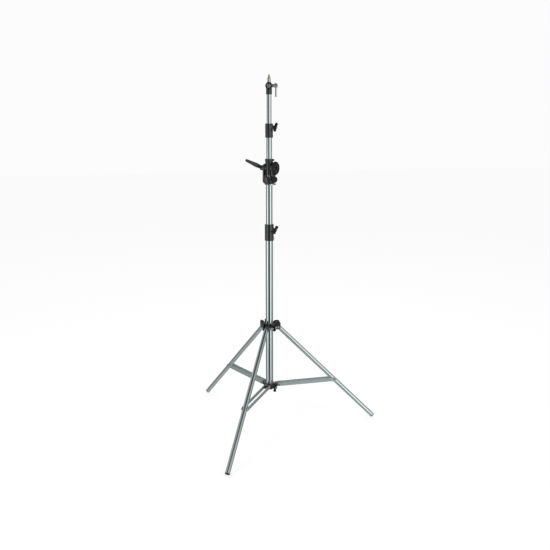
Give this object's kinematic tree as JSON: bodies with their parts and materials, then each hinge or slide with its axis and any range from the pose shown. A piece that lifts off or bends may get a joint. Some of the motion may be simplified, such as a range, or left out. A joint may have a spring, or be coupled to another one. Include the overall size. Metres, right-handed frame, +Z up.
{
  "type": "lighting stand",
  "caption": "Folding lighting stand: braced legs, telescopic chrome column with clamp collars, tilting boom head with side lever, boom tube and swivelling spigot with tommy-bar screw.",
  "frame": {"origin": "on the floor at the column axis", "axes": "+Z up along the column, +X from the column towards leg 1"},
  "size_m": [0.9109, 1.0478, 1.875],
  "materials": {
    "black_casting": "gloss black powder coat over a casting",
    "black_knob": "moulded black nylon with a soft gloss",
    "black_plastic": "matt black moulded plastic",
    "black_rubber": "matt black rubber",
    "brass_pad": "plain turned brass",
    "chrome_tube": "bright chromed steel tube",
    "nylon_liner": "dark grey acetal",
    "satin_strip": "satin zinc-grey rolled strip",
    "turned_steel": "lathe-turned steel, warm nickel tint",
    "zinc_bolt": "bright zinc-plated steel"
  },
  "bodies": {
    "base": {"column_tube": "chrome_tube", "column_foot_plug": "black_plastic", "lower_spider": "black_casting", "brace_pivot_bolts": "zinc_bolt", "column_collar": "black_casting", "column_collar_liner": "nylon_liner", "column_collar_pad": "brass_pad", "column_collar_fixing_screw": "zinc_bolt"},
    "upper_spider": {"upper_spider": "black_casting", "upper_spider_liner": "nylon_liner", "leg_pivot_bolts": "zinc_bolt"},
    "upper_spider_clamp": {"upper_spider_screw": "zinc_bolt", "upper_spider_knob": "black_knob"},
    "lower_spider_clamp": {"lower_spider_screw": "zinc_bolt", "lower_spider_knob": "black_knob"},
    "column_clamp": {"column_collar_screw": "zinc_bolt", "column_collar_knob": "black_knob"},
    "second_column_guide": {"second_column_guide": "nylon_liner"},
    "second_column": {"second_column_tube": "chrome_tube", "head_yoke": "black_casting", "boom_cradle": "black_casting", "tilt_friction_discs": "nylon_liner", "cradle_clamp_ring": "black_casting", "head_base_plate": "zinc_bolt"},
    "tilt_lever": {"tilt_lever": "black_casting", "tilt_stud": "zinc_bolt"},
    "boom_lock": {"boom_lock_knob": "black_knob", "boom_lock_screw": "zinc_bolt"},
    "head_lock": {"head_lock_screw": "zinc_bolt", "head_lock_knob": "black_knob"},
    "boom_liner": {"boom_liner": "nylon_liner"},
    "boom": {"boom_tube": "chrome_tube", "boom_collar": "black_casting", "boom_collar_liner": "nylon_liner", "boom_collar_pad": "brass_pad"},
    "boom_clamp": {"boom_collar_screw": "zinc_bolt", "boom_collar_knob": "black_knob"},
    "extension_guide": {"extension_guide": "nylon_liner"},
    "extension": {"extension_tube": "chrome_tube", "tip_ferrule": "black_casting"},
    "swivel": {"swivel_housing": "black_casting", "swivel_bolt": "zinc_bolt", "spigot": "turned_steel"},
    "tommy_screw": {"tommy_screw": "turned_steel"},
    "tommy_bar": {"tommy_bar": "turned_steel"},
    "leg_1": {"leg_tube_1": "chrome_tube", "leg_end_insert_1": "black_plastic", "foot_plug_1": "black_rubber"},
    "brace_1": {"brace_strips_1": "satin_strip", "brace_rivets_1": "zinc_bolt"},
    "leg_2": {"leg_tube_2": "chrome_tube", "leg_end_insert_2": "black_plastic", "foot_plug_2": "black_rubber"},
    "brace_2": {"brace_strips_2": "satin_strip", "brace_rivets_2": "zinc_bolt"},
    "leg_3": {"leg_tube_3": "chrome_tube", "leg_end_insert_3": "black_plastic", "foot_plug_3": "black_rubber"},
    "brace_3": {"brace_strips_3": "satin_strip", "brace_rivets_3": "zinc_bolt"}
  },
  "joints": [
    {"name": "spider_slide", "type": "slide", "parent": "base", "child": "upper_spider", "axis": [0, 0, 1], "range_m": [0, 0.4353]},
    {"name": "leg_1_fold", "type": "hinge", "parent": "upper_spider", "child": "leg_1", "pos_m": [0.0455, 0, 0.5713], "axis": [0, 1, 0], "range_deg": [0, 42.05]},
    {"name": "brace_1_fold", "type": "hinge", "parent": "base", "child": "brace_1", "pos_m": [0.048, 0, 0.2397], "axis": [0, -1, 0], "range_deg": [0, 86.18]},
    {"name": "leg_2_fold", "type": "hinge", "parent": "upper_spider", "child": "leg_2", "pos_m": [-0.02275, 0.0394, 0.5713], "axis": [-0.866, -0.5, 0], "range_deg": [0, 42.05]},
    {"name": "brace_2_fold", "type": "hinge", "parent": "base", "child": "brace_2", "pos_m": [-0.024, 0.04157, 0.2397], "axis": [0.866, 0.5, 0], "range_deg": [0, 86.18]},
    {"name": "leg_3_fold", "type": "hinge", "parent": "upper_spider", "child": "leg_3", "pos_m": [-0.02275, -0.0394, 0.5713], "axis": [0.866, -0.5, 0], "range_deg": [0, 42.05]},
    {"name": "brace_3_fold", "type": "hinge", "parent": "base", "child": "brace_3", "pos_m": [-0.024, -0.04157, 0.2397], "axis": [-0.866, 0.5, 0], "range_deg": [0, 86.18]},
    {"name": "second_column_slide", "type": "slide", "parent": "base", "child": "second_column_guide", "axis": [0, 0, 1], "range_m": [-0.19, 0.5]},
    {"name": "second_column_turn", "type": "hinge", "parent": "second_column_guide", "child": "second_column", "pos_m": [0, 0, 1.1], "axis": [0, 0, 1], "continuous": true},
    {"name": "boom_turn", "type": "hinge", "parent": "second_column", "child": "boom_liner", "pos_m": [0, 0, 1.417], "axis": [0, 0, 1], "continuous": true},
    {"name": "boom_slide", "type": "slide", "parent": "boom_liner", "child": "boom", "axis": [0, 0, 1], "range_m": [-0.09, 0.65]},
    {"name": "extension_slide", "type": "slide", "parent": "boom", "child": "extension_guide", "axis": [0, 0, 1], "range_m": [-0.115, 0.62]},
    {"name": "extension_turn", "type": "hinge", "parent": "extension_guide", "child": "extension", "pos_m": [0, 0, 1.62], "axis": [0, 0, 1], "continuous": true},
    {"name": "spigot_tilt", "type": "hinge", "parent": "extension", "child": "swivel", "pos_m": [0, 0, 1.822], "axis": [-0.309, -0.9511, 0], "range_deg": [0, 90]},
    {"name": "tommy_screw_turn", "type": "hinge", "parent": "swivel", "child": "tommy_screw", "pos_m": [0, 0, 1.822], "axis": [0.9511, -0.309, 0], "continuous": true},
    {"name": "tommy_bar_slide", "type": "slide", "parent": "tommy_screw", "child": "tommy_bar", "axis": [0, 0, 1], "range_m": [0, 0.039]},
    {"name": "tilt_lever_turn", "type": "hinge", "parent": "second_column", "child": "tilt_lever", "pos_m": [0, 0, 1.417], "axis": [0.8192, -0.5736, 0], "range_deg": [-90, 90]},
    {"name": "boom_lock_turn", "type": "hinge", "parent": "second_column", "child": "boom_lock", "pos_m": [0, 0, 1.417], "axis": [0.8192, -0.5736, 0], "range_deg": [0, 450]},
    {"name": "head_lock_turn", "type": "hinge", "parent": "second_column", "child": "head_lock", "pos_m": [0, 0, 1.362], "axis": [0.4384, -0.8988, 0], "range_deg": [0, 450]},
    {"name": "column_clamp_turn", "type": "hinge", "parent": "base", "child": "column_clamp", "pos_m": [0, 0, 1.101], "axis": [0.7071, -0.7071, 0], "range_deg": [0, 450]},
    {"name": "boom_clamp_turn", "type": "hinge", "parent": "boom", "child": "boom_clamp", "pos_m": [0, 0, 1.621], "axis": [0.8192, -0.5736, 0], "range_deg": [0, 450]},
    {"name": "upper_spider_clamp_turn", "type": "hinge", "parent": "upper_spider", "child": "upper_spider_clamp", "pos_m": [0, 0, 0.579], "axis": [0.5, -0.866, 0], "range_deg": [0, 450]},
    {"name": "lower_spider_clamp_turn", "type": "hinge", "parent": "base", "child": "lower_spider_clamp", "pos_m": [0, 0, 0.2345], "axis": [0.5, -0.866, 0], "range_deg": [0, 450]}
  ],
  "couplings": [
    {"joint": "leg_1_fold", "follows": "spider_slide", "rad_per_m": 1.6837},
    {"joint": "brace_1_fold", "follows": "spider_slide", "rad_per_m": 3.4527},
    {"joint": "leg_2_fold", "follows": "spider_slide", "rad_per_m": 1.6837},
    {"joint": "brace_2_fold", "follows": "spider_slide", "rad_per_m": 3.4527},
    {"joint": "leg_3_fold", "follows": "spider_slide", "rad_per_m": 1.6837},
    {"joint": "brace_3_fold", "follows": "spider_slide", "rad_per_m": 3.4527}
  ]
}
